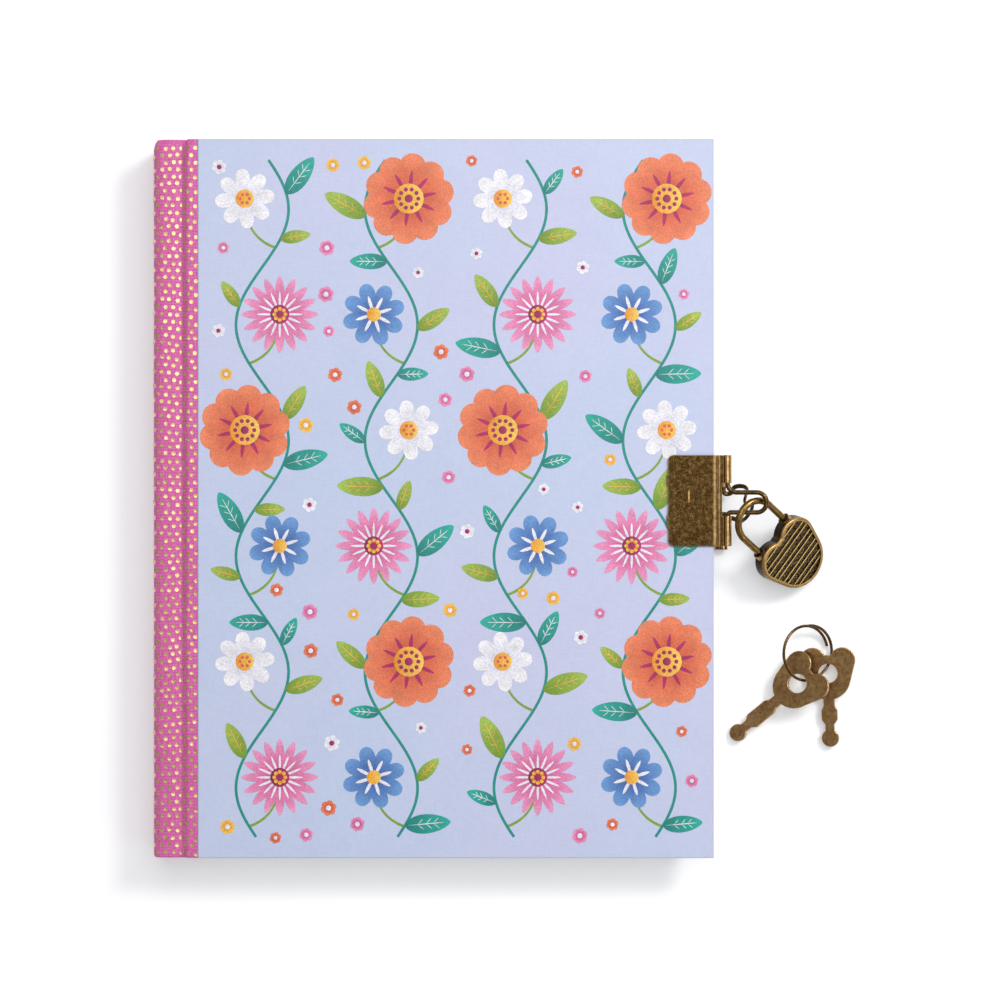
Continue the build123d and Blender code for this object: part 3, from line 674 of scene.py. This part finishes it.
cloth_finish, tree, shader = start_finish("pink_bookcloth", 0.42)
strip_place = add(tree, "ShaderNodeAttribute", {}, attribute_name="strip").outputs["Vector"]
yarns = []
for direction in ("X", "Y"):
    values = {"Vector": strip_place, "Scale": 760.0, "Distortion": 1.2, "Detail": 2.0}
    yarns.append(add(tree, "ShaderNodeTexWave", values, bands_direction=direction).outputs["Fac"])
weave = math_node(tree, "MULTIPLY_ADD", yarns[0], 0.35, math_node(tree, "MULTIPLY", yarns[1], 0.65))
drawn_out = add(tree, "ShaderNodeMapping", {"Vector": strip_place, "Scale": (1, 0.08, 1)}).outputs[0]
slubs = noise(tree, drawn_out, 2400.0)
crackle = noise(tree, strip_place, 1700.0, 4.0, 0.7)
shade = math_node(tree, "MULTIPLY_ADD", weave, 0.4, math_node(tree, "MULTIPLY", slubs, 0.3))
shade = math_node(tree, "MULTIPLY_ADD", crackle, 0.5, shade)
tone_by(tree, shader, shade, [(0.38, srgb(176, 52, 128)), (0.62, srgb(212, 86, 162)),
                              (0.84, srgb(240, 146, 200))])
shader.inputs["Sheen Weight"].default_value = 0.25
join_bump(tree, shader, shade, 0.07 * MM, 0.8)

for piece in (cloth, front_wrap, back_wrap):
    select_only(piece)
    wall = piece.modifiers.new("cloth_wall", "SOLIDIFY")
    wall.thickness = CLOTH
    wall.offset = -1
    bpy.ops.object.modifier_apply(modifier=wall.name)
    bpy.ops.object.shade_smooth_by_angle(angle=math.radians(50))
    piece.data.materials.clear()
    piece.data.materials.append(cloth_finish)

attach(cloth, "book_block")
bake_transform(front_wrap)
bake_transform(back_wrap)
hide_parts("spine_cloth")
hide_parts("front_joint_cloth")
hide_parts("back_joint_cloth")

# Foil dots: round spots of gold foil stamped on the cloth in wandering rows, each a little dished.
# They follow the cloth over the spine and into the grooves, and are parted like it into a spine piece and two
# joint pieces.
DOT_RADIUS = 0.58 * MM
DOT_SIDES = 10
DOT_ROW = 2.05 * MM
DOT_COLUMN = 2.2 * MM
DOT_WANDER = 0.22 * MM
DOT_TILT = 0.06
DOT_MIDDLE_LIFT = 0.016 * MM
DOT_RIM_LIFT = 0.05 * MM
DOT_WAVE = 190
DOT_HEAD = 1.8 * MM
DOT_TAIL = 0.75 * MM
draw = random.Random(7)


def on_cloth(run, y, lift):
    """The point at a run along the cloth's line, lifted off its face."""
    run = min(max(run, 0), path_length[-1])
    number = max(i for i, start in enumerate(path_length) if start <= run)
    number = min(number, len(cloth_path) - 2)
    low, high = cloth_path[number], cloth_path[number + 1]
    ahead = (high - low).normalized()
    spot = low + ahead * (run - path_length[number])
    spot.y = y
    facing = Vector((ahead.z, 0, -ahead.x))
    return spot + facing * (lift + swell(spot) - end_drop(spot, facing))


def dot_faces(corners, faces, run, y):
    """Adds one dished dot's corners and faces."""
    lean = draw.uniform(0, math.tau)
    first = len(corners)
    corners.append(on_cloth(run, y, DOT_MIDDLE_LIFT))
    for side in range(DOT_SIDES):
        angle = math.tau * side / DOT_SIDES
        tilt = DOT_TILT * DOT_RADIUS * math.cos(angle - lean)
        corners.append(on_cloth(run + DOT_RADIUS * math.cos(angle), y + DOT_RADIUS * math.sin(angle),
                                DOT_RIM_LIFT + tilt))
    for side in range(DOT_SIDES):
        faces.append((first, first + 1 + side, first + 1 + (side + 1) % DOT_SIDES))


dot_sets = {"spine_dots": ([], []), "front_joint_dots": ([], []), "back_joint_dots": ([], [])}
columns = int(path_length[-1] / DOT_COLUMN) + 1
for row in range(int(2 * cover_half / DOT_ROW)):
    for column in range(columns):
        y = -cover_half + (row + 0.5) * DOT_ROW + draw.uniform(-DOT_WANDER, DOT_WANDER)
        run = (column + 0.5 * (row % 2) + 0.3) * DOT_COLUMN + draw.uniform(-DOT_WANDER, DOT_WANDER)
        y += 0.35 * DOT_ROW * math.sin(run * DOT_WAVE + row * 0.07)
        if not 0 < run < path_length[-1]:
            continue
        if not DOT_TAIL - cover_half < y < cover_half - DOT_HEAD:
            continue
        spot = on_cloth(run, y, 0)
        name = "front_joint_dots" if is_front(spot) else "back_joint_dots" if is_back(spot) else "spine_dots"
        dot_faces(*dot_sets[name], run, y)

foil_finish, tree, shader = start_finish("gold_foil", 0.3)
place = object_place(tree)
crinkle = noise(tree, place, 1500.0, 3.0)
tone_by(tree, shader, crinkle, [(0.3, srgb(206, 172, 104)), (0.7, srgb(246, 222, 162))])
tree.links.new(math_node(tree, "MULTIPLY_ADD", crinkle, 0.3, 0.18), shader.inputs["Roughness"])
shader.inputs["Metallic"].default_value = 1.0
join_bump(tree, shader, crinkle, 0.03 * MM)

dot_pieces = {}
for name, (corners, faces) in dot_sets.items():
    mesh = bpy.data.meshes.new(name)
    mesh.from_pydata(corners, [], faces)
    piece = bpy.data.objects.new(name, mesh)
    bpy.context.scene.collection.objects.link(piece)
    select_only(piece)
    bpy.ops.object.mode_set(mode="EDIT")
    bpy.ops.mesh.select_all(action="SELECT")
    bpy.ops.mesh.normals_make_consistent(inside=False)
    bpy.ops.object.mode_set(mode="OBJECT")
    mesh.materials.append(foil_finish)
    dot_pieces[name] = piece
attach(dot_pieces["spine_dots"], "book_block")
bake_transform(dot_pieces["front_joint_dots"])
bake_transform(dot_pieces["back_joint_dots"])


# Clasp plates: stamped brass plates with prongs clinched through the boards and two rolled barrels.
# Plated and blackened, then tumbled, so brass shows through the dark finish in specks and on edges; the
# bright edges and the brighter bend and barrels are partly painted highlight.
def wear(tree, place, grain):
    """Greys of a tumbled finish: broad drift, fine specks and short scratches."""
    drift = noise(tree, place, grain * 0.2, 5.0, 0.7)
    specks = noise(tree, place, grain, 3.0, 0.65)
    values = {"Vector": place, "Rotation": (0, 0, 0.6), "Scale": (1, 0.14, 0.6)}
    leaning = add(tree, "ShaderNodeMapping", values).outputs[0]
    scratches = noise(tree, leaning, grain * 1.2, 2.0, 0.5)
    return drift, specks, scratches


def edge_wear_and_highlight(tree, radius, most):
    """A softened normal, and a grey that is high on edges, where tumbling rubs the metal bare and where a
    painted edge highlight goes.
    """
    rounded = add(tree, "ShaderNodeBevel", {"Radius": radius}, samples=6).outputs["Normal"]
    flat = tree.nodes.new("ShaderNodeNewGeometry").outputs["Normal"]
    agree = vector_dot(tree, rounded, flat)
    edge = add(tree, "ShaderNodeMapRange", {"Value": agree, 1: 0.995, 2: 0.88, 3: 0.0, 4: most}).outputs[0]
    return rounded, edge


def metal_surface(tree, shader, tone, specks, rounded, gloss):
    """Joins a tone, a roughness about a level and a fine relief to a metal shader."""
    tree.links.new(tone, shader.inputs["Base Color"])
    tree.links.new(math_node(tree, "MULTIPLY_ADD", specks, -0.24, gloss + 0.12), shader.inputs["Roughness"])
    shader.inputs["Metallic"].default_value = 1.0
    values = {"Height": specks, "Distance": 0.012 * MM, "Strength": 0.5, "Normal": rounded}
    bump = add(tree, "ShaderNodeBump", values)
    tree.links.new(bump.outputs["Normal"], shader.inputs["Normal"])


# Bright brass for the edges: bare rubbed metal, made brighter as a painted edge highlight.
EDGE_WEAR_HIGHLIGHT_TONE = srgb(244, 212, 152)
METAL_GRAIN = 4200.0


def antique_brass(name, dark, middle, bright, grain, most, gloss, rubbed=None):
    """Blackened brass rubbed back to metal: three tones, grain per metre, edge wear with a painted edge
    highlight, and roughness.
    rubbed gives a grey from the place, high where the tone is brightened: where handling has polished the
    metal, and on the plates' bend and barrels also as a painted highlight."""
    finish, tree, shader = start_finish(name, gloss)
    place = object_place(tree)
    drift, specks, scratches = wear(tree, place, grain)
    mixed = math_node(tree, "MULTIPLY_ADD", drift, 0.4, math_node(tree, "MULTIPLY", specks, 0.6))
    tone = ramp(tree, mixed, [(0.40, dark), (0.52, middle), (0.68, bright)])
    lines = ramp(tree, scratches, [(0.60, (0, 0, 0, 1)), (0.78, (0.55, 0.55, 0.55, 1))])
    tone = mix_colour(tree, lines, tone, bright)
    # Edges mix towards the bright edge tone: edge wear and a painted edge highlight.
    rounded, edge = edge_wear_and_highlight(tree, 0.4 * MM, most)
    metal_surface(tree, shader, mix_colour(tree, edge, tone, EDGE_WEAR_HIGHLIGHT_TONE), specks, rounded, gloss)
    if rubbed:
        polished = rubbed(tree, place)
        tone = shader.inputs["Base Color"].links[0].from_socket
        rough = shader.inputs["Roughness"].links[0].from_socket
        # The brightened tone: polished metal, and on the plates' bend and barrels also a painted highlight.
        bare = ramp(tree, drift, [(0.3, srgb(146, 109, 63)), (0.7, srgb(226, 187, 130))])
        tree.links.new(mix_colour(tree, polished, tone, bare), shader.inputs["Base Color"])
        smoother = math_node(tree, "MULTIPLY_ADD", polished, -0.2, rough)
        tree.links.new(smoother, shader.inputs["Roughness"])
    return finish


# The plates' bend and barrels get a brighter tone, partly rubbed by the loops and partly a painted highlight.
BEND_START = 79.0 * MM
BARREL_END = 85.0 * MM
RUB_MIDDLE = Vector((72.6, 0.6, 17.5)) * MM
RUB_REACH = Vector((0.35, 2.3, 2.0)) * MM


def bend_barrel_highlight_and_rub(tree, place):
    """High on the plates' bend and barrels, where the brighter tone is partly rubbed metal and partly a
    painted highlight, and on one small rub in the middle of the front plate.
    """
    across = add(tree, "ShaderNodeSeparateXYZ", {0: place}).outputs["X"]
    share = add(tree, "ShaderNodeMapRange", {"Value": across, 1: BEND_START, 2: BARREL_END}).outputs[0]
    dull, half, full = (0, 0, 0, 1), (0.6, 0.6, 0.6, 1), (1, 1, 1, 1)
    bend = ramp(tree, share, [(0.05, dull), (0.17, half), (0.38, half),
                              (0.46, dull), (0.58, dull), (0.68, full)])
    away = add(tree, "ShaderNodeVectorMath", {0: place, 1: RUB_MIDDLE}, operation="SUBTRACT").outputs[0]
    away = add(tree, "ShaderNodeVectorMath", {0: away, 1: RUB_REACH}, operation="DIVIDE").outputs[0]
    away = add(tree, "ShaderNodeVectorMath", {0: away}, operation="LENGTH").outputs["Value"]
    rub = add(tree, "ShaderNodeMapRange", {"Value": away, 1: 1.0, 2: 0.4, 3: 0.0, 4: 0.7}).outputs[0]
    return math_node(tree, "MAXIMUM", bend, rub)


plate_finish = antique_brass("plate_brass", srgb(38, 27, 14), srgb(74, 56, 32), srgb(158, 128, 80),
                             METAL_GRAIN, 0.8, 0.36, bend_barrel_highlight_and_rub)
dress(plate_finish, "front_clasp_plate", "back_clasp_plate")

# Wire loops: bails of drawn brass wire whose ends turn in the plates' barrels.
# A little lighter than the plates, with less of the bright edge tone, which is edge wear and painted edge
# highlight.
loop_finish = antique_brass("loop_brass", srgb(54, 41, 23), srgb(92, 71, 41), srgb(160, 129, 78),
                            METAL_GRAIN, 0.4, 0.28)
dress(loop_finish, "front_loop", "back_loop")

# Padlock: two pressed heart shells and a bent wire shackle, in the same blackened brass.
# The front face is sunk and stippled inside a bright bead rim, with thin raised ribs across it.
shackle_finish = antique_brass("shackle_brass", srgb(94, 71, 37), srgb(134, 104, 58), srgb(196, 160, 98),
                               METAL_GRAIN, 0.4, 0.26)
dress(shackle_finish, "shackle")

LOCK_MIDDLE = Vector((103.5, -16.63, 6.68)) * MM
LOCK_OUT = Vector((0.4673, -0.1874, 0.8640))
LOCK_UP = Vector((-0.6593, 0.5772, 0.4818))
RIB_PERIOD = 3.5 * MM
RIB_FIRST = 0.7 * MM
RIB_SECOND = 2.15 * MM
RIB_BRIGHT = 0.12 * MM
RIB_LEVEL = 2.0 * MM
shell_finish, tree, shader = start_finish("shell_brass", 0.34)
place = object_place(tree)
drift, specks, _ = wear(tree, place, 2400.0)
away = add(tree, "ShaderNodeVectorMath", {0: place, 1: LOCK_MIDDLE}, operation="SUBTRACT").outputs[0]
level = vector_dot(tree, away, LOCK_OUT)
facing = vector_dot(tree, tree.nodes.new("ShaderNodeTexCoord").outputs["Normal"], LOCK_OUT)
is_sunk = math_node(tree, "LESS_THAN", level, RIB_LEVEL + 0.1 * MM)
is_flat = math_node(tree, "GREATER_THAN", facing, 0.9)
height = vector_dot(tree, away, LOCK_UP)
beside = [math_node(tree, "PINGPONG", math_node(tree, "SUBTRACT", height, start), RIB_PERIOD / 2)
          for start in (RIB_FIRST, RIB_SECOND)]
beside = math_node(tree, "MINIMUM", beside[0], beside[1])
is_crest = math_node(tree, "LESS_THAN", beside, RIB_BRIGHT)
is_raised = math_node(tree, "COMPARE", level, RIB_LEVEL, 0.08 * MM)
is_rib = math_node(tree, "MULTIPLY", is_raised, is_crest)
is_side = math_node(tree, "LESS_THAN", facing, 0.12)
wall_tone = ramp(tree, drift, [(0.35, srgb(38, 30, 24)), (0.65, srgb(74, 58, 40))])
rim_tone = ramp(tree, specks, [(0.3, srgb(138, 107, 64)), (0.7, srgb(200, 164, 106))])
pits = noise(tree, place, 5200.0, 2.0, 0.5)
sunk_tone = ramp(tree, pits, [(0.44, srgb(27, 19, 15)), (0.57, srgb(72, 54, 42)),
                              (0.69, srgb(220, 190, 154))])
rib_tone = ramp(tree, specks, [(0.3, srgb(206, 164, 78)), (0.7, srgb(252, 222, 138))])
tone = mix_colour(tree, is_side, rim_tone, wall_tone)
tone = mix_colour(tree, math_node(tree, "MULTIPLY", is_sunk, is_flat), tone, sunk_tone)
tone = mix_colour(tree, math_node(tree, "MULTIPLY", is_rib, is_flat), tone, rib_tone)
rounded, _ = edge_wear_and_highlight(tree, 0.2 * MM, 0.5)
metal_surface(tree, shader, tone, specks, rounded, 0.34)
dress(shell_finish, "lock_front_shell", "lock_back_shell")

spring_finish, tree, shader = start_finish("latch_steel", 0.35)
place = object_place(tree)
drawn = noise(tree, place, 1800.0, 3.0)
tone_by(tree, shader, drawn, [(0.3, srgb(120, 120, 122)), (0.7, srgb(176, 176, 180))])
shader.inputs["Metallic"].default_value = 1.0
dress(spring_finish, "latch_spring")

# Keys and ring: two stamped flat keys with heart bows on a sprung ring of thin wire.
# The keys are lighter than the plates, with polished patches and bright cut edges, partly painted edge
# highlight; the ring is darker.
KEY_GRAIN = 4600.0


def handled(tree, place):
    """High in broad soft patches, where fingers have polished the metal."""
    patches = noise(tree, place, 190.0, 2.0)
    return add(tree, "ShaderNodeMapRange", {"Value": patches, 1: 0.4, 2: 0.66, 3: 0.0, 4: 0.6}).outputs[0]


key_finish = antique_brass("key_brass", srgb(112, 82, 50), srgb(154, 116, 76), srgb(206, 165, 114),
                           KEY_GRAIN, 0.9, 0.34, handled)
dress(key_finish, "key_left", "key_right")
ring_finish = antique_brass("ring_brass", srgb(58, 44, 27), srgb(96, 74, 46), srgb(160, 127, 82),
                            KEY_GRAIN, 0.3, 0.3)
dress(ring_finish, "key_ring")

# Studio: a white sheet under the diary, soft lamps above and to the right, and a pale sky.
# The camera looks straight down, as in the photograph.
FLOOR_DROP = 0.12 * MM
bpy.ops.object.select_all(action="DESELECT")
bpy.ops.mesh.primitive_plane_add(size=6.0, location=(0, 0, 0))
floor = bpy.context.object
floor.name = "floor"
floor.data.transform(Matrix.Translation((0, 0, -FLOOR_DROP)))
floor_finish, tree, shader = start_finish("white_sheet", 0.9)
shader.inputs["Base Color"].default_value = (0.86, 0.86, 0.87, 1)
shader.inputs["Specular IOR Level"].default_value = 0.1
rays = tree.nodes.new("ShaderNodeLightPath")
seen = math_node(tree, "ADD", rays.outputs["Is Camera Ray"], rays.outputs["Is Glossy Ray"], clamp=True)
shader.inputs["Emission Color"].default_value = (0.94, 0.97, 1, 1)
tree.links.new(math_node(tree, "MULTIPLY", seen, 0.27), shader.inputs["Emission Strength"])
floor.data.materials.append(floor_finish)

sky = bpy.data.worlds.new("pale_sky")
sky.use_nodes = True
sky.node_tree.nodes["Background"].inputs["Color"].default_value = (1.0, 1.0, 1.0, 1)
sky.node_tree.nodes["Background"].inputs["Strength"].default_value = 0.37
bpy.context.scene.world = sky


def soft_lamp(name, spot, size, power):
    """A square soft lamp that faces the diary."""
    data = bpy.data.lights.new(name, "AREA")
    data.size = size
    data.energy = power
    lamp = bpy.data.objects.new(name, data)
    lamp.location = spot
    lamp.rotation_euler = (-Vector(spot)).to_track_quat("-Z", "Y").to_euler()
    bpy.context.scene.collection.objects.link(lamp)


soft_lamp("key_lamp", (0.62, 0.5, 0.8), 0.3, 5.8)
soft_lamp("top_box", (0.1, 0.45, 1.3), 1.1, 7.0)
soft_lamp("low_fill", (0.85, -0.4, 0.55), 0.45, 0.8)

CAMERA_SPOT = (18.76 * MM, -0.43 * MM, 767.0 * MM)
CAMERA_LENS = 94.7
bpy.context.scene.view_settings.view_transform = "Standard"
camera_data = bpy.data.cameras.new("camera")
camera_data.lens = CAMERA_LENS
camera_data.sensor_width = 36.0
camera = bpy.data.objects.new("camera", camera_data)
camera.location = CAMERA_SPOT
bpy.context.scene.collection.objects.link(camera)
bpy.context.scene.camera = camera
